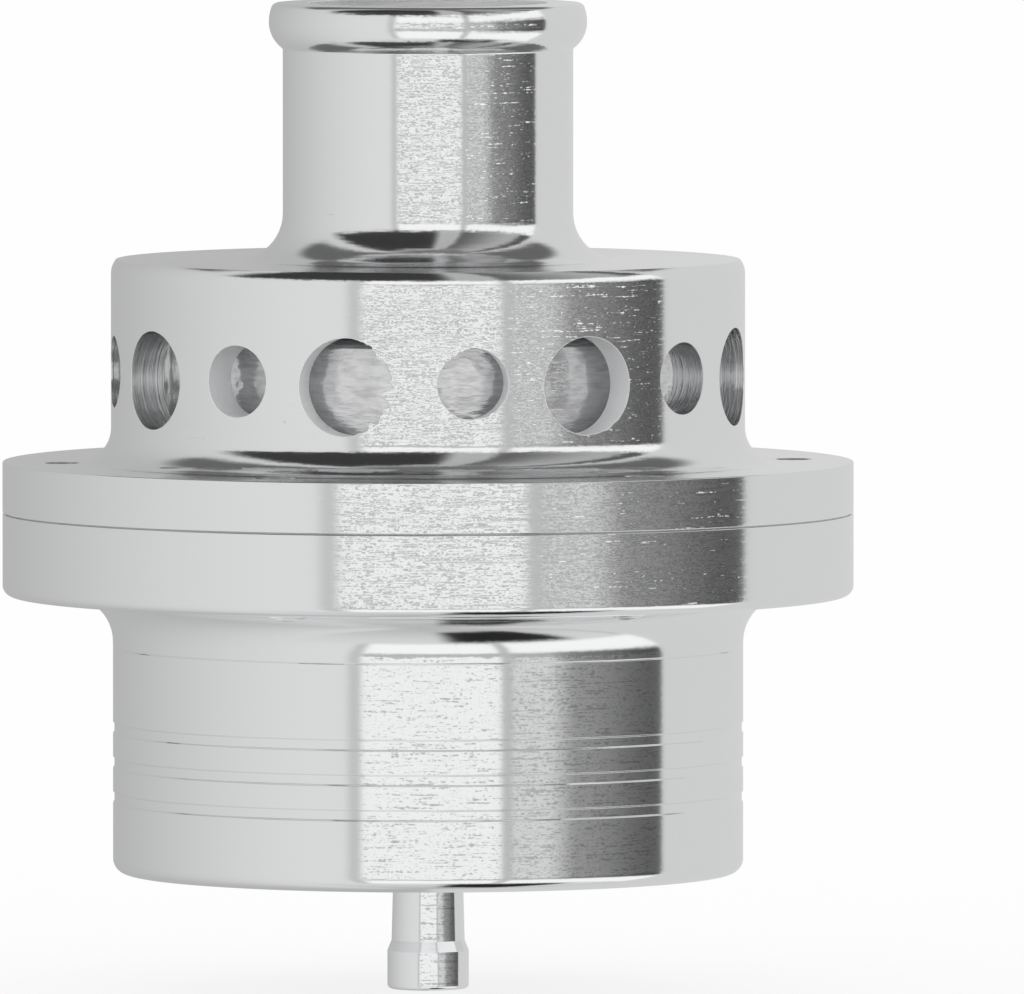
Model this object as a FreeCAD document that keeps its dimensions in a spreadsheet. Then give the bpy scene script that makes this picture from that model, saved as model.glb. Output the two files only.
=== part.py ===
import FreeCAD, Part
import math
import os
from types import SimpleNamespace

import Sketcher

# Piston blow off valve, turned from aluminium, inlet upwards.
# The origin is the centre of the inlet mouth and +Z points out of it, so the valve hangs below it.
# Lengths are in millimetres and angles in degrees. -Y is the front, and angles run from it towards +X.

SIZES = {
    # Hose spigot
    "spigot_diameter": 25.0,
    "spigot_wall": 2.25,
    "bead_height": 1.2,
    "bead_crest_depth": 1.65,
    "bead_top_radius": 3.8,
    "bead_radius": 2.8,
    "bead_blend": 0.3,
    "mouth_round": 0.6,
    "spigot_length": 22.1,
    "spigot_fillet": 4.0,
    # Vented body
    "body_diameter": 54.6,
    "body_length": 17.4,
    "body_wall": 3.2,
    "ceiling_thickness": 3.2,
    "shoulder_round": 1.9,
    "shoulder_round_sweep": 39.0,
    "body_fillet": 2.5,
    "ceiling_fillet": 1.0,
    "seat_width": 2.45,
    "seat_drop": 2.9,
    "seat_fillet": 0.8,
    # Vent ports, in pairs of one large and one small
    "port_pairs": 8,
    "large_port": 8.4,
    "large_port_rise": 7.6,
    "large_port_angle": 30.3,
    "small_port": 6.15,
    "small_port_rise": 7.9,
    "small_port_angle": 8.3,
    # Flanges
    "flange_reach": 9.35,
    "upper_flange_thickness": 4.4,
    "lower_flange_thickness": 7.15,
    "flange_round": 0.9,
    "edge_break": 0.1,
    # Flange screws
    "screw_count": 6,
    "screw_reach": 4.3,
    "screw_angle": 36.0,
    "screw_diameter": 3.0,
    "screw_end_depth": 0.25,
    "screw_head_diameter": 5.5,
    "screw_head_height": 3.0,
    "screw_chamfer": 0.3,
    "socket_width": 2.5,
    "socket_depth": 1.3,
    "socket_turn": 23.0,
    "head_recess": 0.3,
    "head_clearance": 0.15,
    "shank_clearance": 0.2,
    "thread_clearance": 0.03,
    "thread_countersink": 0.2,
    # Cup
    "cup_step": 0.15,
    "cup_length": 23.95,
    "cup_fillet": 4.0,
    "cup_round": 1.25,
    "floor_thickness": 3.0,
    "bore_corner_fillet": 1.0,
    "bore_step": 1.45,
    "groove_count": 3,
    "groove_drop": 11.35,
    "groove_pitch": 3.0,
    "groove_width": 1.0,
    "groove_floor_width": 0.75,
    "groove_depth": 0.12,
    # Register and seal between the housings
    "register_height": 2.0,
    "register_clearance": 0.05,
    "register_lead": 0.3,
    "joint_groove_reach": 2.3,
    "joint_groove_width": 2.4,
    "joint_groove_depth": 1.4,
    # Piston
    "piston_clearance": 0.15,
    "crown_thickness": 4.0,
    "skirt_wall": 3.4,
    "piston_edge": 0.3,
    "crown_fillet": 1.5,
    "travel": 8.5,
    "stop_clearance": 0.05,
    "boss_height": 2.5,
    "boss_wall": 3.3,
    # Seals and guide rings
    "face_seal_width": 3.4,
    "face_seal_proud": 0.3,
    "face_groove_depth": 1.5,
    "seal_side_clearance": 0.1,
    "seal_rounding": 0.3,
    "ring_running_clearance": 0.03,
    "ring_side_clearance": 0.05,
    "guide_ring_height": 3.0,
    "guide_groove_depth": 1.0,
    "guide_ring_split": 3.0,
    "upper_guide_rise": 14.95,
    "o_ring_rise": 10.45,
    "lower_guide_rise": 3.95,
    "o_ring_height": 2.2,
    "o_ring_groove_depth": 1.5,
    "o_ring_rounding": 0.6,
    # Spring, its seat and the stop
    "spring_gap": 4.0,
    "spring_wire": 2.2,
    "spring_turns": 6.0,
    "spring_end_pitch": 2.3,
    "spring_ground": 0.6,
    "spring_boss_clearance": 0.4,
    "spring_seat_thickness": 1.0,
    "spring_seat_hole": 12.0,
    "stop_thickness": 2.5,
    "stop_width": 2.0,
    "stop_side_clearance": 0.3,
    # Vacuum nipple
    "nipple_bore": 3.5,
    "nipple_shank": 5.2,
    "nipple_fit": 0.01,
    "nipple_lead": 0.2,
    "nipple_length": 10.0,
    "neck_diameter": 6.0,
    "neck_end_diameter": 6.3,
    "neck_length": 5.8,
    "barb_diameter": 7.02,
    "barb_slope": 0.9,
    "barb_round": 0.4,
}

# An arc that arrives at a corner turns to the left or to the right of the way the outline runs
LEFT = 1
RIGHT = -1

# How far a cutting shape runs past the wall that it goes through
OVERRUN = 1.0


class Size:
    """A number together with the formula that it comes from."""

    def __init__(self, formula, number):
        self.formula = formula
        self.number = number

    @staticmethod
    def of(value):
        if isinstance(value, Size):
            return value
        return Size(repr(float(value)), float(value))

    def __add__(self, other):
        other = Size.of(other)
        return Size(f"({self.formula} + {other.formula})", self.number + other.number)

    def __sub__(self, other):
        other = Size.of(other)
        return Size(f"({self.formula} - {other.formula})", self.number - other.number)

    def __mul__(self, other):
        other = Size.of(other)
        return Size(f"({self.formula} * {other.formula})", self.number * other.number)

    def __truediv__(self, other):
        other = Size.of(other)
        return Size(f"({self.formula} / {other.formula})", self.number / other.number)

    def __rsub__(self, other):
        return Size.of(other) - self

    def __rtruediv__(self, other):
        return Size.of(other) / self

    def __neg__(self):
        return Size(f"(0 - {self.formula})", -self.number)

    __radd__ = __add__
    __rmul__ = __mul__


def square_root(value):
    return Size(f"sqrt({value.formula})", math.sqrt(value.number))


def sine(angle):
    return Size(f"sin({angle.formula} * 1 deg)", math.sin(math.radians(angle.number)))


def cosine(angle):
    return Size(f"cos({angle.formula} * 1 deg)", math.cos(math.radians(angle.number)))


# The document and its table of driving dimensions
doc = FreeCAD.newDocument("blow_off_valve")
sheet = doc.addObject("Spreadsheet::Sheet", "Sizes")
for row, (name, number) in enumerate(SIZES.items(), start=1):
    sheet.set(f"A{row}", name)
    sheet.set(f"B{row}", str(number))
    sheet.setAlias(f"B{row}", name)
doc.recompute()

size = SimpleNamespace(**{name: Size(f"Sizes.{name}", float(number)) for name, number in SIZES.items()})


# Drawing helpers

def origin_feature(body, role):
    return next(feature for feature in body.Origin.OriginFeatures if feature.Role == role)


def new_body(name):
    body = doc.addObject("PartDesign::Body", name)
    body.Label = name
    return body


def bind(thing, field, value):
    thing.setExpression(field, value.formula)


def new_sketch(body, name, plane="XZ_Plane"):
    sketch = body.newObject("Sketcher::SketchObject", name)
    sketch.AttachmentSupport = [(origin_feature(body, plane), "")]
    sketch.MapMode = "FlatFace"
    return sketch


def turn_sketch(sketch, angle, distance):
    """Stand an XZ sketch out from the Z axis, facing outwards at an angle from the front."""
    rotation = FreeCAD.Rotation(FreeCAD.Vector(0, 1, 0), angle.number)
    sketch.AttachmentOffset = FreeCAD.Placement(FreeCAD.Vector(), rotation)
    bind(sketch, ".AttachmentOffset.Rotation.Angle", angle)
    bind(sketch, ".AttachmentOffset.Base.x", distance * sine(angle))
    bind(sketch, ".AttachmentOffset.Base.z", distance * cosine(angle))


def arc_between(start, end, radius, turn):
    """The shorter arc of a radius from start to end, turning left or right."""
    chord = end - start
    middle = (start + end) * 0.5
    rise = math.sqrt(max(radius ** 2 - (chord.Length / 2) ** 2, 0.0))
    side = FreeCAD.Vector(-chord.y, chord.x, 0).normalize() * turn
    centre = middle + side * rise
    circle = Part.Circle(centre, FreeCAD.Vector(0, 0, 1), radius)
    first, last = (start, end) if turn == LEFT else (end, start)
    return Part.ArcOfCircle(circle, circle.parameter(first), circle.parameter(last))


def hold_point(sketch, edge, end, across, up, label):
    """Fix one end of an edge at its two sizes from the sketch's origin."""
    for kind, value, axis, tag in (("DistanceX", across, -2, "x"), ("DistanceY", up, -1, "y")):
        if not isinstance(value, Size):
            sketch.addConstraint(Sketcher.Constraint("PointOnObject", edge, end, axis))
            continue
        index = sketch.addConstraint(Sketcher.Constraint(kind, -1, 1, edge, end, value.number))
        sketch.renameConstraint(index, f"{label}_{tag}")
        bind(sketch, f"Constraints.{label}_{tag}", value)


def draw_outline(sketch, corners):
    """Draw a closed outline. A corner is (across, up), or (across, up, radius, turn) after an arc."""
    points = [FreeCAD.Vector(Size.of(corner[0]).number, Size.of(corner[1]).number, 0) for corner in corners]
    ends = []
    for index, corner in enumerate(corners):
        start, end = points[index - 1], points[index]
        if len(corner) == 2:
            sketch.addGeometry(Part.LineSegment(start, end), False)
            ends.append((1, 2))
            continue
        radius, turn = corner[2], corner[3]
        edge = sketch.addGeometry(arc_between(start, end, radius.number, turn), False)
        ends.append((1, 2) if turn == LEFT else (2, 1))
        held = sketch.addConstraint(Sketcher.Constraint("Radius", edge, radius.number))
        sketch.renameConstraint(held, f"radius_{index}")
        bind(sketch, f"Constraints.radius_{index}", radius)
    for index, corner in enumerate(corners):
        following = (index + 1) % len(corners)
        sketch.addConstraint(Sketcher.Constraint("Coincident", index, ends[index][1], following, ends[following][0]))
        hold_point(sketch, index, ends[index][1], corner[0], corner[1], f"corner_{index}")


def draw_circle(sketch, across, up, diameter):
    centre = FreeCAD.Vector(Size.of(across).number, Size.of(up).number, 0)
    circle = sketch.addGeometry(Part.Circle(centre, FreeCAD.Vector(0, 0, 1), diameter.number / 2), False)
    held = sketch.addConstraint(Sketcher.Constraint("Diameter", circle, diameter.number))
    sketch.renameConstraint(held, "diameter")
    bind(sketch, "Constraints.diameter", diameter)
    hold_point(sketch, circle, 3, across, up, "centre")


def revolve(body, kind, name, corners, sketch=None):
    """Turn an outline about the vertical axis of its sketch, to add it to a body or to cut it away."""
    sketch = sketch or new_sketch(body, f"{name}_outline")
    draw_outline(sketch, corners)
    feature = body.newObject(f"PartDesign::{kind}", name)
    feature.Profile = sketch
    feature.ReferenceAxis = (sketch, ["V_Axis"])
    feature.Angle = 360
    return feature


def repeat_around(body, feature, name, count):
    """Copy a feature round the Z axis of its body."""
    pattern = body.newObject("PartDesign::PolarPattern", name)
    pattern.Originals = [feature]
    pattern.Axis = (origin_feature(body, "Z_Axis"), [""])
    pattern.Angle = 360
    bind(pattern, "Occurrences", count)
    body.Tip = pattern
    return pattern


def rounded_section(inner, outer, bottom, top, rounding):
    """The section of a seal ring: a rectangle with its four corners rounded."""
    return [
        (outer - rounding, bottom),
        (outer, bottom + rounding, rounding, LEFT),
        (outer, top - rounding),
        (outer - rounding, top, rounding, LEFT),
        (inner + rounding, top),
        (inner, top - rounding, rounding, LEFT),
        (inner, bottom + rounding),
        (inner + rounding, bottom, rounding, LEFT),
    ]


# Places that several pieces share. Heights are from the inlet mouth, those on the piston from its crown.

spigot_radius = size.spigot_diameter / 2
inlet_radius = spigot_radius - size.spigot_wall
body_radius = size.body_diameter / 2
body_inner_radius = body_radius - size.body_wall
flange_radius = body_radius + size.flange_reach
screw_circle_radius = body_radius + size.screw_reach
joint_groove_radius = body_inner_radius + size.joint_groove_reach
piston_bore_radius = body_inner_radius - size.bore_step
piston_radius = piston_bore_radius - size.piston_clearance
skirt_inner_radius = piston_radius - size.skirt_wall
spring_radius = skirt_inner_radius - size.spring_gap

shoulder_z = -size.spigot_length
ceiling_z = shoulder_z - size.ceiling_thickness
flange_top_z = shoulder_z - size.body_length
joint_z = flange_top_z - size.upper_flange_thickness
underside_z = joint_z - size.lower_flange_thickness
base_z = underside_z - size.cup_length
floor_z = base_z + size.floor_thickness

seat_z = ceiling_z - size.seat_drop
crown_z = seat_z - size.face_seal_proud
stop_z = floor_z + size.stop_thickness
spring_foot_z = floor_z + size.spring_seat_thickness
spring_head_z = crown_z - size.crown_thickness
piston_length = crown_z - stop_z - size.travel - size.stop_clearance
upper_guide_z = size.upper_guide_rise - piston_length
o_ring_z = size.o_ring_rise - piston_length
lower_guide_z = size.lower_guide_rise - piston_length

stop_outer_radius = piston_bore_radius - size.bore_corner_fillet - size.stop_side_clearance
stop_inner_radius = stop_outer_radius - size.stop_width

head_seat_z = underside_z + size.screw_head_height + size.head_recess
screw_length = flange_top_z - size.screw_end_depth - head_seat_z
seat_middle_radius = inlet_radius + size.seat_width / 2


def make_upper_housing():
    """Beaded spigot, shoulder, vented body, upper flange and the seat lip inside, turned in one piece."""
    body = new_body("upper_housing")
    bead_crest = spigot_radius + size.bead_height
    # Above its crest the bead runs into the mouth through a round that touches both
    top_centre = bead_crest - size.bead_top_radius
    top_reach = size.bead_top_radius - size.mouth_round
    top_height = size.bead_crest_depth - size.mouth_round
    top_across = square_root(top_reach * top_reach - top_height * top_height)
    top_share = size.bead_top_radius / top_reach
    # Below it the bead runs into the neck through a small blend that touches both
    bead_centre = bead_crest - size.bead_radius
    blend_reach = size.bead_radius + size.bead_blend
    blend_across = spigot_radius + size.bead_blend - bead_centre
    blend_down = square_root(blend_reach * blend_reach - blend_across * blend_across)
    bead_share = size.bead_radius / blend_reach
    seat_radius = inlet_radius + size.seat_width
    revolve(body, "Revolution", "turned_body", [
        (inlet_radius, 0),
        (top_centre + top_across, 0),
        (top_centre + top_across * top_share, top_height * top_share - size.bead_crest_depth,
         size.mouth_round, RIGHT),
        (bead_crest, -size.bead_crest_depth, size.bead_top_radius, RIGHT),
        (bead_centre + blend_across * bead_share, -size.bead_crest_depth - blend_down * bead_share,
         size.bead_radius, RIGHT),
        (spigot_radius, -size.bead_crest_depth - blend_down, size.bead_blend, LEFT),
        (spigot_radius, shoulder_z + size.spigot_fillet),
        (spigot_radius + size.spigot_fillet, shoulder_z, size.spigot_fillet, LEFT),
        (body_radius - size.shoulder_round * (1 - cosine(size.shoulder_round_sweep)), shoulder_z),
        (body_radius, shoulder_z - size.shoulder_round * sine(size.shoulder_round_sweep),
         size.shoulder_round, RIGHT),
        (body_radius, flange_top_z + size.body_fillet),
        (body_radius + size.body_fillet, flange_top_z, size.body_fillet, LEFT),
        (flange_radius - size.edge_break, flange_top_z),
        (flange_radius, flange_top_z - size.edge_break),
        (flange_radius, joint_z + size.edge_break),
        (flange_radius - size.edge_break, joint_z),
        (body_inner_radius, joint_z),
        (body_inner_radius, ceiling_z - size.ceiling_fillet),
        (body_inner_radius - size.ceiling_fillet, ceiling_z, size.ceiling_fillet, LEFT),
        (seat_radius + size.seat_fillet, ceiling_z),
        (seat_radius, ceiling_z - size.seat_fillet, size.seat_fillet, LEFT),
        (seat_radius, seat_z),
        (inlet_radius, seat_z),
    ])
    drill_ports(body, "large_port", size.large_port, size.large_port_rise, size.large_port_angle)
    drill_ports(body, "small_port", size.small_port, size.small_port_rise, size.small_port_angle)
    drill_tapped_holes(body)
    return body


def drill_ports(body, name, diameter, rise, angle):
    """Drill one ring of radial vent ports through the wall of the body."""
    sketch = new_sketch(body, f"{name}_circle")
    turn_sketch(sketch, angle, body_inner_radius - OVERRUN)
    draw_circle(sketch, 0, flange_top_z + rise, diameter)
    port = body.newObject("PartDesign::Pocket", name)
    port.Profile = sketch
    port.Reversed = True
    bind(port, "Length", size.body_wall + 2 * OVERRUN)
    repeat_around(body, port, f"{name}s", size.port_pairs)


def drill_tapped_holes(body):
    """Tapped holes through the upper flange, with a light countersink on top."""
    thread_radius = size.screw_diameter / 2 + size.thread_clearance
    sketch = new_sketch(body, "tapped_hole_outline")
    turn_sketch(sketch, size.screw_angle, screw_circle_radius)
    hole = revolve(body, "Groove", "tapped_hole", [
        (0, joint_z - OVERRUN),
        (thread_radius, joint_z - OVERRUN),
        (thread_radius, flange_top_z - size.thread_countersink),
        (thread_radius + size.thread_countersink, flange_top_z),
        (thread_radius + size.thread_countersink, flange_top_z + OVERRUN),
        (0, flange_top_z + OVERRUN),
    ], sketch)
    repeat_around(body, hole, "tapped_holes", size.screw_count)


def make_lower_housing():
    """Lower flange and cup in one piece, drawn down from the joint face."""
    body = new_body("lower_housing")
    bind(body, ".Placement.Base.z", joint_z)
    cup_radius = body_radius - size.cup_step
    register_radius = body_inner_radius - size.register_clearance
    joint_groove_half = size.joint_groove_width / 2
    underside = underside_z - joint_z
    base = base_z - joint_z
    floor = floor_z - joint_z
    corners = [
        (piston_bore_radius + size.register_lead, size.register_height),
        (register_radius - size.register_lead, size.register_height),
        (register_radius, size.register_height - size.register_lead),
        (register_radius, 0),
        (joint_groove_radius - joint_groove_half, 0),
        (joint_groove_radius - joint_groove_half, -size.joint_groove_depth),
        (joint_groove_radius + joint_groove_half, -size.joint_groove_depth),
        (joint_groove_radius + joint_groove_half, 0),
        (flange_radius - size.edge_break, 0),
        (flange_radius, -size.edge_break),
        (flange_radius, underside + size.flange_round),
        (flange_radius - size.flange_round, underside, size.flange_round, RIGHT),
        (cup_radius + size.cup_fillet, underside),
        (cup_radius, underside - size.cup_fillet, size.cup_fillet, LEFT),
    ]
    for number in range(int(SIZES["groove_count"])):
        middle = underside - size.groove_drop - size.groove_pitch * number
        corners += [
            (cup_radius, middle + size.groove_width / 2),
            (cup_radius - size.groove_depth, middle + size.groove_floor_width / 2),
            (cup_radius - size.groove_depth, middle - size.groove_floor_width / 2),
            (cup_radius, middle - size.groove_width / 2),
        ]
    corners += [
        (cup_radius, base + size.cup_round),
        (cup_radius - size.cup_round, base, size.cup_round, RIGHT),
        (size.nipple_shank / 2, base),
        (size.nipple_shank / 2, floor),
        (piston_bore_radius - size.bore_corner_fillet, floor),
        (piston_bore_radius, floor + size.bore_corner_fillet, size.bore_corner_fillet, LEFT),
        (piston_bore_radius, size.register_height - size.register_lead),
    ]
    revolve(body, "Revolution", "turned_body", corners)
    # Counterbored screw holes, cut from below so that they nick the fillet of the cup
    head_hole_radius = size.screw_head_diameter / 2 + size.head_clearance
    shank_hole_radius = size.screw_diameter / 2 + size.shank_clearance
    head_seat = head_seat_z - joint_z
    sketch = new_sketch(body, "screw_hole_outline")
    turn_sketch(sketch, size.screw_angle, screw_circle_radius)
    hole = revolve(body, "Groove", "screw_hole", [
        (0, underside - size.cup_fillet),
        (head_hole_radius, underside - size.cup_fillet),
        (head_hole_radius, head_seat),
        (shank_hole_radius, head_seat),
        (shank_hole_radius, size.register_height),
        (0, size.register_height),
    ], sketch)
    repeat_around(body, hole, "screw_holes", size.screw_count)
    return body


def make_piston():
    """Cup-shaped piston, drawn down from its crown, with grooves for its seals and guide rings."""
    body = new_body("piston")
    bind(body, ".Placement.Base.z", crown_z)
    half_groove = size.face_seal_width / 2 + size.seal_side_clearance
    boss_radius = spring_radius - size.spring_wire - size.spring_boss_clearance
    corners = [
        (0, 0),
        (0, -size.crown_thickness),
        (boss_radius - size.boss_wall, -size.crown_thickness),
        (boss_radius - size.boss_wall, -size.crown_thickness - size.boss_height),
        (boss_radius, -size.crown_thickness - size.boss_height),
        (boss_radius, -size.crown_thickness),
        (skirt_inner_radius - size.crown_fillet, -size.crown_thickness),
        (skirt_inner_radius, -size.crown_thickness - size.crown_fillet, size.crown_fillet, RIGHT),
        (skirt_inner_radius, -piston_length),
        (piston_radius - size.piston_edge, -piston_length),
        (piston_radius, -piston_length + size.piston_edge),
    ]
    ring_grooves = (
        (lower_guide_z, size.guide_ring_height, size.guide_groove_depth),
        (o_ring_z, size.o_ring_height, size.o_ring_groove_depth),
        (upper_guide_z, size.guide_ring_height, size.guide_groove_depth),
    )
    for middle, height, depth in ring_grooves:
        half_height = height / 2 + size.ring_side_clearance
        corners += [
            (piston_radius, middle - half_height),
            (piston_radius - depth, middle - half_height),
            (piston_radius - depth, middle + half_height),
            (piston_radius, middle + half_height),
        ]
    corners += [
        (piston_radius, -size.piston_edge),
        (piston_radius - size.piston_edge, 0),
        (seat_middle_radius + half_groove, 0),
        (seat_middle_radius + half_groove, -size.face_groove_depth),
        (seat_middle_radius - half_groove, -size.face_groove_depth),
        (seat_middle_radius - half_groove, 0),
    ]
    revolve(body, "Revolution", "turned_body", corners)
    return body


def make_face_seal():
    """Rubber ring in the crown, standing proud to close on the seat lip."""
    body = new_body("face_seal")
    bind(body, ".Placement.Base.z", crown_z)
    half_width = size.face_seal_width / 2
    revolve(body, "Revolution", "moulded_ring", rounded_section(
        seat_middle_radius - half_width, seat_middle_radius + half_width,
        -size.face_groove_depth, size.face_seal_proud, size.seal_rounding))
    return body


def make_guide_ring(name, middle):
    """Split wear ring that carries the piston in its bore."""
    body = new_body(name)
    bind(body, ".Placement.Base.z", crown_z + middle)
    inner = piston_radius - size.guide_groove_depth + size.ring_side_clearance
    outer = piston_bore_radius - size.ring_running_clearance
    half_height = size.guide_ring_height / 2
    ring = revolve(body, "Revolution", "split_ring", [
        (inner, -half_height),
        (outer, -half_height),
        (outer, half_height),
        (inner, half_height),
    ])
    bind(ring, "Angle", 360 - size.guide_ring_split)
    return body


def make_piston_o_ring():
    """Sliding seal, shown as it lies squeezed in its groove."""
    body = new_body("piston_o_ring")
    bind(body, ".Placement.Base.z", crown_z + o_ring_z)
    inner = piston_radius - size.o_ring_groove_depth + size.ring_side_clearance
    outer = piston_bore_radius - size.ring_running_clearance
    half_height = size.o_ring_height / 2
    revolve(body, "Revolution", "moulded_ring", rounded_section(
        inner, outer, -half_height, half_height, size.o_ring_rounding))
    return body


def make_joint_o_ring():
    """Seal between the housings, squeezed flat against the upper flange."""
    body = new_body("joint_o_ring")
    bind(body, ".Placement.Base.z", joint_z)
    half_width = size.joint_groove_width / 2 - size.seal_side_clearance
    revolve(body, "Revolution", "moulded_ring", rounded_section(
        joint_groove_radius - half_width, joint_groove_radius + half_width,
        -size.joint_groove_depth, 0, size.seal_rounding))
    return body


def make_spring():
    """Compression spring, drawn up from its foot at its fitted length, with one closed turn at each end."""
    body = new_body("main_spring")
    bind(body, ".Placement.Base.z", spring_foot_z)
    fitted_length = spring_head_z - spring_foot_z
    coil_foot = size.spring_wire / 2 - size.spring_ground
    coil_height = fitted_length - 2 * (coil_foot + size.spring_end_pitch)
    wind_coil(body, "closed_foot", coil_foot, size.spring_end_pitch, size.spring_end_pitch)
    wind_coil(body, "coil", coil_foot + size.spring_end_pitch, coil_height, coil_height / size.spring_turns)
    wind_coil(body, "closed_head", fitted_length - coil_foot - size.spring_end_pitch,
              size.spring_end_pitch, size.spring_end_pitch)
    # Both ends are ground flat
    outer = spring_radius + OVERRUN
    for name, low, high in (
            ("ground_foot", -size.spring_wire, 0), ("ground_head", fitted_length, fitted_length + size.spring_wire)):
        revolve(body, "Groove", name, [(0, low), (outer, low), (outer, high), (0, high)])
    return body


def wind_coil(body, name, foot, height, pitch):
    """Wind some whole turns of the spring's wire, up from the height of its centre at the foot."""
    sketch = new_sketch(body, f"{name}_wire")
    draw_circle(sketch, spring_radius - size.spring_wire / 2, foot, size.spring_wire)
    coil = body.newObject("PartDesign::AdditiveHelix", name)
    coil.Profile = sketch
    coil.ReferenceAxis = (sketch, ["V_Axis"])
    coil.Mode = "pitch-height-angle"
    bind(coil, "Pitch", pitch)
    bind(coil, "Height", height)


def make_spring_seat():
    """Steel washer under the spring, with the vacuum hole through it."""
    body = new_body("spring_seat")
    bind(body, ".Placement.Base.z", floor_z)
    outer = stop_inner_radius - size.stop_side_clearance
    revolve(body, "Revolution", "washer", [
        (size.spring_seat_hole / 2, 0),
        (outer, 0),
        (outer, size.spring_seat_thickness),
        (size.spring_seat_hole / 2, size.spring_seat_thickness),
    ])
    return body


def make_bump_stop():
    """Rubber ring on the floor that the skirt lands on."""
    body = new_body("bump_stop")
    bind(body, ".Placement.Base.z", floor_z)
    revolve(body, "Revolution", "moulded_ring", rounded_section(
        stop_inner_radius, stop_outer_radius, 0, size.stop_thickness, size.seal_rounding))
    return body


def make_nipple():
    """Barbed hose nipple, pressed into the floor up to its shoulder."""
    body = new_body("vacuum_nipple")
    bind(body, ".Placement.Base.z", base_z)
    bore = size.nipple_bore / 2
    shank = size.nipple_shank / 2 - size.nipple_fit
    barb_top = -size.neck_length - size.barb_slope
    revolve(body, "Revolution", "turned_nipple", [
        (bore, size.floor_thickness),
        (bore, -size.nipple_length),
        (size.barb_diameter / 2 - size.barb_round, -size.nipple_length),
        (size.barb_diameter / 2, -size.nipple_length + size.barb_round, size.barb_round, LEFT),
        (size.barb_diameter / 2, barb_top),
        (size.neck_end_diameter / 2, -size.neck_length),
        (size.neck_diameter / 2, 0),
        (shank, 0),
        (shank, size.floor_thickness - size.nipple_lead),
        (shank - size.nipple_lead, size.floor_thickness),
    ])
    return body


def make_screw(number):
    """Socket cap screw, drawn from the face under its head, shank upwards."""
    body = new_body(f"flange_screw_{number}")
    angle = size.screw_angle + 360 / size.screw_count * (number - 1)
    bind(body, ".Placement.Base.x", screw_circle_radius * sine(angle))
    bind(body, ".Placement.Base.y", -screw_circle_radius * cosine(angle))
    bind(body, ".Placement.Base.z", head_seat_z)
    bind(body, ".Placement.Rotation.Angle", size.socket_turn * number)
    shank = size.screw_diameter / 2
    head = size.screw_head_diameter / 2
    revolve(body, "Revolution", "turned_screw", [
        (0, -size.screw_head_height),
        (head - size.screw_chamfer, -size.screw_head_height),
        (head, -size.screw_head_height + size.screw_chamfer),
        (head, 0),
        (shank, 0),
        (shank, screw_length - size.screw_chamfer),
        (shank - size.screw_chamfer, screw_length),
        (0, screw_length),
    ])
    cut_socket(body)
    return body


def cut_socket(body):
    """Hexagon socket in the end of a screw head."""
    sketch = new_sketch(body, "socket_outline", "XY_Plane")
    bind(sketch, ".AttachmentOffset.Base.z", -size.screw_head_height)
    half_width = size.socket_width / 2
    half_side = half_width * math.tan(math.radians(30))
    draw_outline(sketch, [
        (half_side, half_width),
        (-half_side, half_width),
        (-2 * half_side, 0),
        (-half_side, -half_width),
        (half_side, -half_width),
        (2 * half_side, 0),
    ])
    socket = body.newObject("PartDesign::Pocket", "socket")
    socket.Profile = sketch
    socket.Reversed = True
    bind(socket, "Length", size.socket_depth)


def check_model(bodies):
    """Stop if any object failed, or if a cut removed nothing."""
    for thing in doc.Objects:
        if "Invalid" in thing.State or "Error" in thing.State:
            raise RuntimeError(f"{thing.Label} did not compute: {thing.State}")
        if thing.TypeId in ("PartDesign::Pocket", "PartDesign::Groove", "PartDesign::PolarPattern"):
            if thing.Shape.Volume >= thing.BaseFeature.Shape.Volume:
                raise RuntimeError(f"{thing.Label} removed nothing")
    for body in bodies:
        if body.Shape.isNull() or not body.Shape.isValid() or len(body.Shape.Solids) != 1:
            raise RuntimeError(f"{body.Label} is not one valid solid")


bodies = [
    make_upper_housing(),
    make_lower_housing(),
    make_nipple(),
    make_piston(),
    make_face_seal(),
    make_guide_ring("upper_guide_ring", upper_guide_z),
    make_guide_ring("lower_guide_ring", lower_guide_z),
    make_piston_o_ring(),
    make_spring(),
    make_spring_seat(),
    make_bump_stop(),
    make_joint_o_ring(),
]
bodies += [make_screw(number) for number in range(1, int(SIZES["screw_count"]) + 1)]
doc.recompute()
check_model(bodies)

os.makedirs("parts", exist_ok=True)
for body in bodies:
    body.Shape.exportStep(f"parts/{body.Label}.step")
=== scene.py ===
import math

import bpy
import numpy as np
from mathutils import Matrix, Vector
from mathutils.geometry import delaunay_2d_cdt


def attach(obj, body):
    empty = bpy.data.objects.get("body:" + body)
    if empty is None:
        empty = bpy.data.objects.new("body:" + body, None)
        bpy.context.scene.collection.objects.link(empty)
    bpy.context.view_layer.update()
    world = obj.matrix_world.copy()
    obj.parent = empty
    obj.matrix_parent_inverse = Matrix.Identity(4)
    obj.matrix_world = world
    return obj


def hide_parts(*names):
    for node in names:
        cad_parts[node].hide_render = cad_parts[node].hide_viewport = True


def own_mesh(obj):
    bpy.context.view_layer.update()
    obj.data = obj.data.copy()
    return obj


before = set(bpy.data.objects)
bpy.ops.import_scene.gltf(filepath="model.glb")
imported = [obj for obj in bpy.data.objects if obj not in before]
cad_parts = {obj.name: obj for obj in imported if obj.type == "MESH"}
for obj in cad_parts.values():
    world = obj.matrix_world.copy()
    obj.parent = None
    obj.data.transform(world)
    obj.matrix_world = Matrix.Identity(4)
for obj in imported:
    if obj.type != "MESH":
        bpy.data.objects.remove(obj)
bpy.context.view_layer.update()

# Piston blow off valve, turned from aluminium. Lengths are in millimetres until a mesh is made, angles in
# degrees. Heights are from the inlet mouth, and angles run from the front (-Y) towards +X.

MM = 0.001
LEFT, RIGHT = 1, -1

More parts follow.
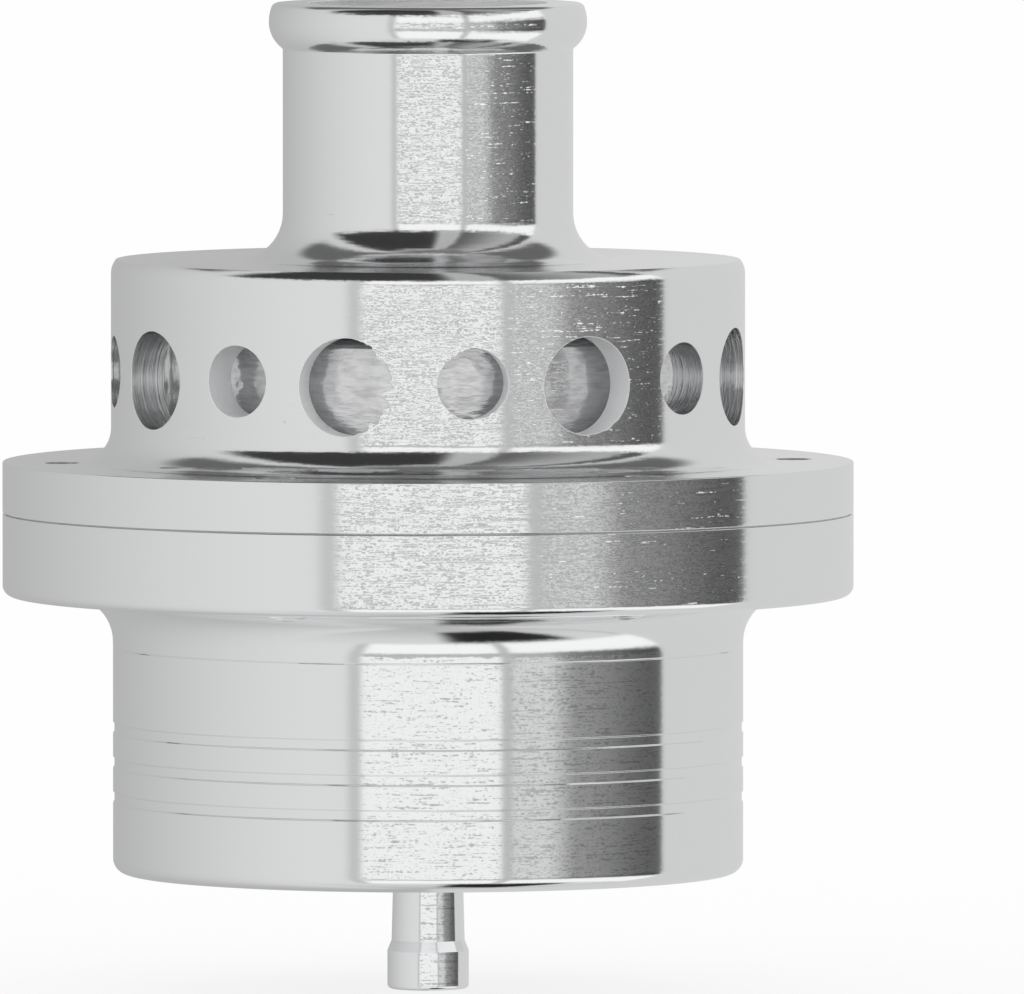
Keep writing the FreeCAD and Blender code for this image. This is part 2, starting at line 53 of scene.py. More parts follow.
# Heights that several pieces share
SHOULDER, CEILING, SEAT = -22.1, -25.3, -28.2
FLANGE_TOP, JOINT, UNDERSIDE, BASE, FLOOR = -39.5, -43.9, -51.05, -75.0, -72.0
NIPPLE_END = BASE - 10.0
CROWN, SKIRT_END = -28.5, -60.95
TOOL_STOP = -55.45

# Radii that several pieces share
SPIGOT, INLET, BODY, BODY_INNER, FLANGE, CUP = 12.5, 10.25, 27.3, 24.1, 36.65, 27.15
PISTON_BORE, PISTON = 22.65, 22.5

# The fillets on the shoulder and under the flanges, and the smaller one on top of the flanges
FILLET, BODY_FILLET = 4.0, 2.9

# Ports: height, radius and the angle of the first of eight. Their edges are rounded by a hair.
LARGE_PORT = (-31.9, 4.2, 30.3)
SMALL_PORT = (-31.6, 3.075, 8.3)
PORT_PAIRS = 8
PORT_POINTS = 120
PORT_RIM = 0.05
# Ports within this angle of the front are reamed clean, and the others keep the rings of the drill
REAMED_WITHIN = 45.0

# Screws: how many, the radius of their circle, the angle of the first, and how each socket is turned
SCREWS, SCREW_CIRCLE, SCREW_ANGLE, SOCKET_TURN = 6, 31.6, 36.0, 23.0
SCREW_PITCH = 360 / SCREWS
HEAD_SEAT, SCREW_END = -47.75, -39.75
TAPPED_HOLE, CLEARANCE_HOLE, HEAD_HOLE, COUNTERSINK = 1.53, 1.7, 2.9, 0.2
HOLE_POINTS = 64

# The spring stands on its seat and ends under the piston's crown. The piston's travel and a hair of play are
# listed as well; the spring is not shortened by them.
SPRING_FOOT, SPRING_HEAD, TRAVEL, SPRING_PLAY = -71.0, -32.5, 8.5, 0.03

# Columns round a turned piece, fewer round the nipple and the piston, and the widest step in degrees round a
# fillet or a round. The sectors that are cut out of a turned surface start on one of these columns.
COLUMNS, FEWER_COLUMNS = 240, 180
ARC_STEP = 7.5
SECTOR_START = -1.5

# How far an edge that the drawing shows sharp is really broken
BROKEN_EDGE = 0.05

# The fine gap between the two flanges at their rim, and the part of a round that leads into it: its radius,
# how far in it reaches and how far from the joint it starts
SEAM, SEAM_DEPTH = 0.09, 0.45
SEAM_ROUND, SEAM_ROUND_IN, SEAM_ROUND_AWAY = 0.1, 0.07, 0.12

# Points are welded in steps of a ten thousandth of a millimetre. The shift keeps round lengths off the steps.
WELD_STEPS, WELD_SHIFT = 1e4, 0.37

# Finishes of a housing, in the order of its materials
TURNED, DRILLED, RIM, TAPPED, INSIDE, REAMED, BORE = range(7)

# How bright the front screen of the studio is
SCREEN = 0.985


# Outlines

def arc_centre(start, end, radius, turn):
    chord = end - start
    side = np.array([-chord[1], chord[0]]) / np.hypot(*chord) * turn
    return (start + end) / 2 + side * math.sqrt(max(radius ** 2 - (np.hypot(*chord) / 2) ** 2, 0.0))


def with_broken_edges(corners, reach):
    """Put a small round on each corner between two straight lines."""
    made = []
    for index, corner in enumerate(corners):
        following = corners[(index + 1) % len(corners)]
        if "radius" in corner or "radius" in following:
            made.append(corner)
            continue
        before, here, after = (np.array(c["at"]) for c in (corners[index - 1], corner, following))
        coming, going = here - before, after - here
        ahead = [np.hypot(*coming), np.hypot(*going)]
        coming, going = coming / ahead[0], going / ahead[1]
        turned = coming[0] * going[1] - coming[1] * going[0]
        angle = math.atan2(abs(turned), float(coming @ going))
        if angle < math.radians(8):
            made.append(corner)
            continue
        radius = min(reach, 0.4 * min(ahead) / math.tan(angle / 2))
        cut = radius * math.tan(angle / 2)
        made.append({**corner, "at": tuple(here - coming * cut)})
        side = LEFT if turned > 0 else RIGHT
        made.append({"at": tuple(here + going * cut), "radius": radius, "turn": side})
    return made


def to(across, up, radius=None, turn=None, name=None, rows=1):
    """A corner of an outline. The way to it is straight, or an arc if it has a radius."""
    corner = {"at": (across, up), "rows": rows}
    if radius:
        corner.update(radius=radius, turn=turn)
    if name:
        corner["name"] = name
    return corner


def outline_runs(corners, reach=BROKEN_EDGE):
    """Follow a closed outline clockwise. A run is rows of radius, height, normal and way along it."""
    corners = with_broken_edges(corners, reach)
    runs, along = [], 0.0
    for index, corner in enumerate(corners):
        start, end = np.array(corners[index - 1]["at"]), np.array(corner["at"])
        if "radius" in corner:
            centre = arc_centre(start, end, corner["radius"], corner["turn"])
            first = math.atan2(*(start - centre)[::-1])
            swept = math.atan2(*(end - centre)[::-1]) - first
            swept = (swept + math.pi) % (2 * math.pi) - math.pi
            rows = max(2, math.ceil(abs(math.degrees(swept)) / ARC_STEP))
            angles = first + swept * np.linspace(0, 1, rows + 1)
            normals = np.stack([np.cos(angles), np.sin(angles)], 1)
            points = centre + corner["radius"] * normals
            points[0], points[-1] = start, end
            normals *= -corner["turn"]
            length = abs(swept) * corner["radius"]
        else:
            rows = corner["rows"]
            points = start + (end - start) * np.linspace(0, 1, rows + 1)[:, None]
            length = np.hypot(*(end - start))
            normal = np.array([-(end - start)[1], (end - start)[0]]) / length
            normals = np.repeat(normal[None], rows + 1, 0)
        way = along + length * np.linspace(0, 1, rows + 1)
        along += length
        runs.append((corner.get("name"), np.column_stack([points, normals, way])))
    return runs


def joined(first, second):
    return np.vstack([first, second[1:]])


def around(radius, height, angle):
    """Points, or directions, at an angle round the axis."""
    angle = np.radians(angle)
    return np.stack([radius * np.sin(angle), -radius * np.cos(angle), height + 0 * angle], -1)


def surface_at(run, angle, way):
    """Points and normals of a turned surface at angles and ways along its outline."""
    radius, height, out, up = (np.interp(way, run[:, 4], run[:, column]) for column in range(4))
    size = np.hypot(out, up)
    return around(radius, height, angle), around(out / size, up / size, angle)


def inside(across, up, loop):
    """Which points lie inside a closed loop."""
    found = np.zeros(len(across), bool)
    for (x0, y0), (x1, y1) in zip(loop, np.roll(loop, -1, 0)):
        if y0 != y1:
            found ^= ((y0 > up) != (y1 > up)) & (across < (x1 - x0) * (up - y0) / (y1 - y0) + x0)
    return found


# Meshes

class Skin:
    """Faces with the true normal at each corner, welded into one closed mesh at the end."""

    def __init__(self):
        self.parts = []

    def faces(self, points, normals, way, finish):
        """Points and normals are faces by corners by three."""
        ahead = np.cross(points[:, 1] - points[:, 0], points[:, 2] - points[:, 0])
        if points.shape[1] == 4:
            ahead = np.cross(points[:, 2] - points[:, 0], points[:, 3] - points[:, 1])
        wrong = np.einsum("ij,ij->i", ahead, normals.sum(1)) < 0
        for values in (points, normals, way):
            values[wrong] = values[wrong][:, ::-1]
        self.parts.append((points, normals, way, np.full(len(points), finish)))

    def grid(self, points, normals, way, finish):
        """Rows by columns by three."""
        values = [np.stack([grid[:-1, :-1], grid[1:, :-1], grid[1:, 1:], grid[:-1, 1:]], 2)
                  for grid in (points, normals, way)]
        count = values[0].shape[0] * values[0].shape[1]
        self.faces(*(value.reshape(count, 4, *value.shape[3:]) for value in values), finish)

    def turned(self, run, finish, columns=COLUMNS):
        angles = np.linspace(0, 360, columns + 1)[None]
        points = around(run[:, 0, None], run[:, 1, None], angles)
        normals = around(run[:, 2, None], run[:, 3, None], angles)
        self.grid(points, normals, np.repeat(run[:, 4, None], columns + 1, 1), finish)

    def collar(self, rings, finish):
        """Quads between closed rings, each given as points, normals and way."""
        closed = [[np.concatenate([part, part[:1]]) for part in ring] for ring in rings]
        self.grid(*(np.stack([ring[k] for ring in closed]) for k in range(3)), finish)

    def perforated(self, run, start, sector, holes, finish, step=1.0):
        """One sector of a turned surface. A hole is a closed loop of angles and ways along the outline."""
        # The inner points stay this far away from a hole
        margin = 0.3
        scale = math.radians(1) * run[:, 0].mean()
        columns = round(sector * COLUMNS / 360)
        angles = start + sector * np.arange(columns + 1) / columns
        ways = run[:, 4]
        border = [(a, ways[0]) for a in angles] + [(angles[-1], w) for w in ways[1:-1]]
        border += [(a, ways[-1]) for a in angles[::-1]] + [(angles[0], w) for w in ways[-2:0:-1]]
        loops = [np.array(border)] + [np.column_stack(hole) for hole in holes]
        inner = np.array([(a, w) for a in np.arange(start + step, start + sector - step / 2, step)
                          for w in ways[1:-1]]).reshape(-1, 2)
        clear = np.ones(len(inner), bool)
        for loop in loops[1:]:
            middle = loop.mean(0)
            wide = middle + (loop - middle) * (1 + margin / (np.ptp(loop[:, 1]) / 2))
            clear &= ~inside(inner[:, 0], inner[:, 1], wide)
        places = np.vstack(loops + [inner[clear]])
        edges, first = [], 0
        for loop in loops:
            count = len(loop)
            edges += [(first + k, first + (k + 1) % count) for k in range(count)]
            first += count
        flat = [Vector((a * scale, w)) for a, w in places]
        _, _, faces, origins, _, _ = delaunay_2d_cdt(flat, edges, [], 0, 1e-7)
        corners = np.array([[origins[v][0] for v in face] for face in faces])
        middle = places[corners].mean(1)
        solid = np.ones(len(corners), bool)
        for loop in loops[1:]:
            solid &= ~inside(middle[:, 0], middle[:, 1], loop)
        corners = corners[solid]
        points, normals = surface_at(run, places[:, 0], places[:, 1])
        self.faces(points[corners], normals[corners], places[corners][:, :, 1].copy(), finish)

    def mesh(self, name, materials):
        """One object of all the faces, less those that the welding left without an area."""
        points = np.vstack([part[0].reshape(-1, 3) for part in self.parts])
        _, first, vertex = np.unique(
            np.round(points * WELD_STEPS + WELD_SHIFT), axis=0, return_index=True, return_inverse=True)
        vertex = vertex.reshape(-1)
        faces, normals, ways, finishes, place = [], [], [], [], 0
        for part_points, part_normals, part_way, part_finish in self.parts:
            sides = part_points.shape[1]
            indices = vertex[place:place + len(part_points) * sides].reshape(-1, sides)
            place += len(part_points) * sides
            same = indices == np.roll(indices, -1, 1)
            for k in range(len(indices)):
                corners = np.flatnonzero(~same[k])
                if len(corners) < 3:
                    continue
                faces.append(indices[k, corners].tolist())
                normals.append(part_normals[k, corners])
                ways.append(part_way[k, corners])
                finishes.append(part_finish[k])
        mesh = bpy.data.meshes.new(name)
        mesh.from_pydata((points[first] * MM).tolist(), [], faces)
        for material in materials:
            mesh.materials.append(material)
        mesh.polygons.foreach_set("material_index", np.array(finishes, np.int32))
        mesh.attributes.new("along", "FLOAT", "CORNER").data.foreach_set(
            "value", np.concatenate(ways).astype(np.float32))
        normals = np.vstack(normals)
        normals /= np.linalg.norm(normals, axis=1)[:, None]
        mesh.normals_split_custom_set(normals.tolist())
        made = bpy.data.objects.new(name, mesh)
        bpy.context.scene.collection.objects.link(made)
        return made


def rim_away(middle):
    """How far round its rim each point of a port is from one place on it."""
    return (np.linspace(0, 360, PORT_POINTS, endpoint=False) - middle + 180) % 360 - 180


def torn_edge(seed, *tears):
    """How far burrs reach into a port round its rim. A tear is a middle, a spread and a depth."""
    random = np.random.default_rng(seed)
    teeth = random.random(PORT_POINTS)
    teeth = (np.roll(teeth, 1) + 2 * teeth + np.roll(teeth, -1)) / 4
    # The power makes most of the teeth small
    teeth = ((teeth - teeth.min()) / np.ptp(teeth)) ** 1.6
    burr = np.zeros(PORT_POINTS)
    for middle, spread, depth in tears:
        burr = np.maximum(burr, np.exp(-(rim_away(middle) / spread) ** 4) * depth * teeth)
    return burr


def with_tooth(burr, middle, spread, depth):
    """Add one long pointed tooth."""
    return np.maximum(burr, depth * (1 - np.abs(rim_away(middle)) / spread))


def drill_port(skin, port, turn, burr, finish):
    """Rims and wall of one radial port. Gives back the loops that it cuts in the outer and the inner wall."""
    height, radius, angle = port
    angle = angle + turn
    t = np.linspace(0, 2 * np.pi, PORT_POINTS, endpoint=False)
    outward, sideways = around(1.0, 0.0, angle), around(1.0, 0.0, angle + 90)
    upward = np.array([0.0, 0.0, 1.0])

    def ring(reach, depth, wall, lean, side):
        """Points at a reach from the port's axis and a depth behind one wall, with leaning normals."""
        across, up = reach * np.cos(t), reach * np.sin(t)
        behind = np.sqrt(wall ** 2 - across ** 2) - side * depth
        points = across[:, None] * sideways + (height + up)[:, None] * upward + behind[:, None] * outward
        inward = -(np.cos(t)[:, None] * sideways + np.sin(t)[:, None] * upward)
        face = points * [1, 1, 0] / np.linalg.norm(points[:, :2], axis=1)[:, None] * side
        return points, math.cos(lean) * face + math.sin(lean) * inward, behind

    # From outside to inside: the rim, the wall behind it where the burr thins out, and the rim at the back
    rings = []
    for lean in np.radians([0, 30, 60, 90]):
        reach = radius + PORT_RIM * (1 - math.sin(lean)) - burr
        rings.append(ring(reach, PORT_RIM * (1 - math.cos(lean)), BODY, lean, 1))
    for depth, share in ((0.35, 0.55), (0.7, 0.15), (1.1, 0.0), (1.9, 0.0)):
        rings.append(ring(radius - burr * share, depth, BODY, math.pi / 2, 1))
    for lean in np.radians([90, 60, 30, 0]):
        reach = radius + PORT_RIM * (1 - math.sin(lean)) + 0 * t
        rings.append(ring(reach, PORT_RIM * (1 - math.cos(lean)), BODY_INNER, lean, -1))
    skin.collar(rings, finish)
    loops = []
    for wall, reach in ((BODY, radius + PORT_RIM - burr), (BODY_INNER, radius + PORT_RIM + 0 * t)):
        loops.append((angle + np.degrees(np.arcsin(reach * np.cos(t) / wall)), height + reach * np.sin(t)))
    return loops


def hole_loop(run, angle, reach):
    """The loop that an upright hole cuts in a turned surface, as angles and ways along its outline."""
    t = np.linspace(0, 2 * np.pi, HOLE_POINTS, endpoint=False)
    across, aside = SCREW_CIRCLE + reach * np.cos(t), reach * np.sin(t)
    radius = np.hypot(across, aside)
    order = np.argsort(run[:, 0])
    return angle + np.degrees(np.arctan2(aside, across)), np.interp(radius, run[order, 0], run[order, 4])


def hole_ring(angle, reach, height, out, up):
    """A level ring round the axis of a screw, with a normal that points out from it and up."""
    t = np.linspace(0, 2 * np.pi, HOLE_POINTS, endpoint=False)
    outward, sideways = around(1.0, 0.0, angle), around(1.0, 0.0, angle + 90)
    spoke = np.cos(t)[:, None] * outward + np.sin(t)[:, None] * sideways
    points = SCREW_CIRCLE * outward + reach * spoke + np.array([0, 0, height])
    return points, out * spoke + np.array([0, 0, up]), np.full(HOLE_POINTS, float(height))


def drill_for_screws(skin, surface, joint, mouth, rings, mouth_normal, finish):
    """Holes from a turned surface to the joint face. Each starts as a loop in the surface and goes on by
    rings, each a reach and a height, with upright walls and level steps between them."""
    for number in range(SCREWS):
        angle = SCREW_ANGLE + SCREW_PITCH * number
        start = angle - SCREW_PITCH / 2
        loop = hole_loop(surface, angle, mouth)
        skin.perforated(surface, start, SCREW_PITCH, [loop], TURNED)
        skin.perforated(joint, start, SCREW_PITCH, [hole_loop(joint, angle, rings[-1][0])], TURNED, step=2.0)
        points, _ = surface_at(surface, *loop)
        ring = hole_ring(angle, *rings[0], *mouth_normal)
        skin.collar([(points, ring[1], points[:, 2]), ring], finish)
        for (reach, height), (next_reach, next_height) in zip(rings, rings[1:]):
            normal = (-1.0, 0.0) if height != next_height else (0.0, math.copysign(1.0, next_reach - reach))
            skin.collar([hole_ring(angle, reach, height, *normal),
                         hole_ring(angle, next_reach, next_height, *normal)], finish)


# Node trees

class Value:
    """A number on its way through a node tree."""

    def __init__(self, nodes, socket):
        self.nodes, self.socket = nodes, socket

    def math(self, operation, *others):
        values = dict(enumerate((self, *others)))
        return self.nodes.node("ShaderNodeMath", {"operation": operation}, values).out()

    def __add__(self, other): return self.math("ADD", other)
    def __sub__(self, other): return self.math("SUBTRACT", other)
    def __rsub__(self, other): return self.nodes.number(other).math("SUBTRACT", self)
    def __mul__(self, other): return self.math("MULTIPLY", other)
    __rmul__ = __mul__
    def __truediv__(self, other): return self.math("DIVIDE", other)
    def __rtruediv__(self, other): return self.nodes.number(other).math("DIVIDE", self)
    def __neg__(self): return self.math("MULTIPLY", -1.0)
    def __gt__(self, other): return self.math("GREATER_THAN", other)

    def ramp(self, low, high, bottom=0.0, top=1.0):
        """Ease from bottom to top while the value goes from low to high."""
        return self.nodes.node(
            "ShaderNodeMapRange", {"interpolation_type": "SMOOTHSTEP"},
            {"Value": self, "From Min": low, "From Max": high, "To Min": bottom, "To Max": top}).out(0)

    def band(self, low, high, soft):
        """One between low and high, easing to nothing over a soft edge."""
        half = soft / 2
        return self.ramp(low - half, low + half) * self.ramp(high - half, high + half, 1.0, 0.0)

    def mix(self, other, share):
        return self + (other - self) * share


class Made:
    """A node that has been placed in a tree."""

    def __init__(self, nodes, node):
        self.nodes, self.node = nodes, node

    def out(self, name=0):
        return Value(self.nodes, self.node.outputs[name])


class Nodes:
    """Places nodes in one tree."""

    def __init__(self, tree):
        self.tree = tree
        tree.nodes.clear()

    def node(self, kind, settings=None, values=None):
        placed = self.tree.nodes.new(kind)
        for name, value in (settings or {}).items():
            setattr(placed, name, value)
        for name, value in (values or {}).items():
            socket = placed.inputs[name]
            if isinstance(value, Value):
                self.tree.links.new(value.socket, socket)
            else:
                socket.default_value = value
        return Made(self, placed)

    def number(self, value):
        made = self.node("ShaderNodeValue")
        made.node.outputs[0].default_value = value
        return made.out()

    def vector(self, across, along, up):
        return self.node("ShaderNodeCombineXYZ", None, {0: across, 1: along, 2: up}).out()

    def parts(self, vector):
        split = self.node("ShaderNodeSeparateXYZ", None, {0: vector})
        return [split.out(k) for k in range(3)]

    def blend(self, share, first, second):
        """A colour between two."""
        mixed = self.node("ShaderNodeMix", {"data_type": "RGBA"}, {0: share, 6: first, 7: second})
        return mixed.out(2)

    def pick(self, index, values):
        """The value with this index."""
        chosen = self.node("GeometryNodeIndexSwitch", {"data_type": "FLOAT"})
        for _ in values[2:]:
            chosen.node.index_switch_items.new()
        for k, value in enumerate((index, *values)):
            if isinstance(value, Value):
                self.tree.links.new(value.socket, chosen.node.inputs[k])
            else:
                chosen.node.inputs[k].default_value = value
        return chosen.out()

    def noise(self, vector, scale, detail, roughness):
        return self.node("ShaderNodeTexNoise", {"noise_dimensions": "3D"}, {
            "Vector": vector, "Scale": scale, "Detail": detail, "Roughness": roughness}).out(0)


# Materials. A relief is how high a bump of one stands, in millimetres.

ALUMINIUM = (0.915, 0.92, 0.925, 1.0)
SMEARED = (0.72, 0.72, 0.73, 1.0)
STEEL = (0.6, 0.6, 0.61, 1.0)
RUBBER = (0.025, 0.025, 0.027, 1.0)
PTFE = (0.75, 0.74, 0.7, 1.0)
RELIEF = 0.01


def new_material(name):
    made = bpy.data.materials.new(name)
    made.use_nodes = True
    return made, Nodes(made.node_tree)


def shaded(nodes, sockets):
    shader = nodes.node("ShaderNodeBsdfPrincipled", None, sockets)
    nodes.node("ShaderNodeOutputMaterial", None, {"Surface": shader.out()})


def place_on_piece(nodes):
    """Object coordinates in millimetres."""
    return [part * (1 / MM) for part in nodes.parts(nodes.node("ShaderNodeTexCoord").out("Object"))]


def way_along_outline(nodes):
    return nodes.node("ShaderNodeAttribute", {"attribute_name": "along"}).out("Fac")


def on_walls(nodes):
    """One on upright walls, little on fillets, rounds and flats, which the tool left smoother."""
    _, _, up = nodes.parts(nodes.node("ShaderNodeTexCoord").out("Normal"))
    return up.math("ABSOLUTE").ramp(0.02, 0.1, 1.0, 0.2)


def bumped(nodes, height, relief=RELIEF):
    return nodes.node("ShaderNodeBump", None, {
        "Strength": 1.0, "Distance": relief * MM, "Height": height}).out()


def leant(nodes, slope):
    """The surface's own normal, leant up or down by a slope. It never leans sideways."""
    own = nodes.node("ShaderNodeNewGeometry").out("Normal")
    lean = nodes.vector(0.0, 0.0, slope)
    raised = nodes.node("ShaderNodeVectorMath", {"operation": "ADD"}, {0: own, 1: lean})
    return nodes.node("ShaderNodeVectorMath", {"operation": "NORMALIZE"}, {0: raised.out()}).out()


def turned_metal(name, roughness, lines, speckle):
    """Bare aluminium with fine tool lines round it, broken up by a finer grain. Both are slopes."""
    material, nodes = new_material(name)
    (across, along, up), way = place_on_piece(nodes), way_along_outline(nodes)
    long_lines = nodes.noise(nodes.vector(across * 0.1, along * 0.1, way * 5.0 + up * 0.3), 1.0, 2.0, 0.6)
    short_lines = nodes.noise(nodes.vector(across * 0.5, along * 0.5, way * 6.0 + up * 0.3), 1.0, 1.0, 0.5)
    grain = nodes.noise(nodes.vector(across * 2.8, along * 2.8, up * 4.2), 1.0, 2.0, 0.6)
    slope = (long_lines - 0.5) * lines + (short_lines - 0.5) * (0.8 * lines) + (grain - 0.5) * speckle
    shaded(nodes, {
        "Base Color": ALUMINIUM, "Metallic": 1.0, "Roughness": roughness, "Anisotropic": 0.4,
        "Anisotropic Rotation": 0.25, "Normal": leant(nodes, slope * on_walls(nodes))})
    return material


def drilled_metal(name, bare, roughness, rings_height):
    """A drilled or bored wall of aluminium, with the rings that the tool left."""
    material, nodes = new_material(name)
    (across, along, up), way = place_on_piece(nodes), way_along_outline(nodes)
    rings = nodes.noise(nodes.vector(across * 0.12, along * 0.12, way * 4.0), 1.0, 3.0, 0.65)
    grain = nodes.noise(nodes.vector(across, along, up), 4.0, 2.0, 0.6)
    shaded(nodes, {
        "Base Color": ALUMINIUM, "Metallic": bare, "Roughness": roughness,
        "Normal": bumped(nodes, rings * rings_height + grain)})
    return material


def polished_metal(name):
    """The piston, bright but smeared and streaked by its running."""
    material, nodes = new_material(name)
    across, along, up = place_on_piece(nodes)
    streaks = nodes.noise(nodes.vector(across * 0.6, along * 0.6, up * 3.2), 1.0, 3.0, 0.65)
    waves = nodes.noise(nodes.vector(across * 0.6, along * 0.6, up * 0.9), 1.0, 1.0, 0.5)
    smear = (streaks * 0.6 + waves * 0.4).ramp(0.38, 0.58)
    shaded(nodes, {
        "Base Color": nodes.blend(smear, SMEARED, ALUMINIUM), "Metallic": 0.7, "Roughness": 0.12,
        "Normal": bumped(nodes, streaks * 6.0 + waves * 12.0)})
    return material


def plain_metal(name, colour, roughness):
    """Smooth metal with faint marks round it."""
    material, nodes = new_material(name)
    across, along, up = place_on_piece(nodes)
    marks = nodes.noise(nodes.vector(across * 0.2, along * 0.2, up * 5.0), 1.0, 3.0, 0.6)
    shaded(nodes, {
        "Base Color": colour, "Metallic": 1.0, "Roughness": roughness,
        "Normal": bumped(nodes, marks * 0.5)})
    return material


def soft_material(name, colour, roughness):
    """Rubber or PTFE with a faint unevenness."""
    material, nodes = new_material(name)
    across, along, up = place_on_piece(nodes)
    grain = nodes.noise(nodes.vector(across, along, up), 3.0, 2.0, 0.6)
    shaded(nodes, {"Base Color": colour, "Roughness": roughness, "Normal": bumped(nodes, grain, 2 * RELIEF)})
    return material


turned_aluminium = turned_metal("turned_aluminium", roughness=0.12, lines=0.5, speckle=0.42)
turned_flange = turned_metal("turned_flange", roughness=0.12, lines=0.4, speckle=0.36)
turned_cup = turned_metal("turned_cup", roughness=0.11, lines=0.2, speckle=0.22)
drilled_aluminium = drilled_metal("drilled_aluminium", bare=1.0, roughness=0.22, rings_height=9.0)
reamed_aluminium = drilled_metal("reamed_aluminium", bare=0.25, roughness=0.3, rings_height=4.0)
bored_aluminium = drilled_metal("bored_aluminium", bare=0.8, roughness=0.35, rings_height=3.0)
satin_aluminium = drilled_metal("satin_aluminium", bare=0.12, roughness=0.5, rings_height=2.0)
tapped_aluminium = plain_metal("tapped_aluminium", ALUMINIUM, roughness=0.3)
polished_aluminium = polished_metal("polished_aluminium")
screw_steel = plain_metal("screw_steel", STEEL, roughness=0.3)
spring_steel = plain_metal("spring_steel", STEEL, roughness=0.35)
seal_rubber = soft_material("seal_rubber", RUBBER, roughness=0.55)
guide_ptfe = soft_material("guide_ptfe", PTFE, roughness=0.4)


# Pieces

def keep(made, body, slot, *nodes):
    """Ride on a body and stand for the CAD nodes."""
    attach(made, body)
    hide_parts(*nodes)


class Recipe:
    """A Geometry Nodes tree with named sizes. It is run once, and its result becomes a plain mesh."""

    def __init__(self, name, sizes):
        self.name, self.sizes = name, sizes
        self.tree = bpy.data.node_groups.new(name, "GeometryNodeTree")
        self.nodes = Nodes(self.tree)
        self.identifiers = {}
        interface = self.tree.interface
        for size, value in sizes.items():
            kind = "NodeSocketInt" if isinstance(value, int) else "NodeSocketFloat"
            self.identifiers[size] = interface.new_socket(size, in_out="INPUT", socket_type=kind).identifier
        interface.new_socket("Geometry", in_out="OUTPUT", socket_type="NodeSocketGeometry")
        self.inputs = self.nodes.node("NodeGroupInput")

    def size(self, name):
        return self.inputs.out(name)

    def crisp(self, geometry):
        """Smooth faces with sharp edges where they turn by more than 30 degrees."""
        smooth = self.nodes.node("GeometryNodeSetShadeSmooth", {"domain": "FACE"}, {0: geometry, 2: True})
        sharp = self.nodes.node("GeometryNodeInputMeshEdgeAngle").out() > math.radians(30)
        return self.nodes.node(
            "GeometryNodeSetShadeSmooth", {"domain": "EDGE"}, {0: smooth.out(), 1: sharp, 2: False}).out()

    def made(self, geometry, material):
        real = self.nodes.node("GeometryNodeRealizeInstances", None, {0: geometry})
        coated = self.nodes.node("GeometryNodeSetMaterial", None, {
            "Geometry": real.out(), "Material": material})
        self.nodes.node("NodeGroupOutput", None, {0: coated.out()})
        made = bpy.data.objects.new(self.name, bpy.data.meshes.new(self.name))
        bpy.context.scene.collection.objects.link(made)
        modifier = made.modifiers.new(self.name, "NODES")
        modifier.node_group = self.tree
        for size, value in self.sizes.items():
            modifier[self.identifiers[size]] = value
        graph = bpy.context.evaluated_depsgraph_get()
        mesh = bpy.data.meshes.new_from_object(made.evaluated_get(graph), depsgraph=graph)
        made.modifiers.clear()
        made.data = mesh
        return made


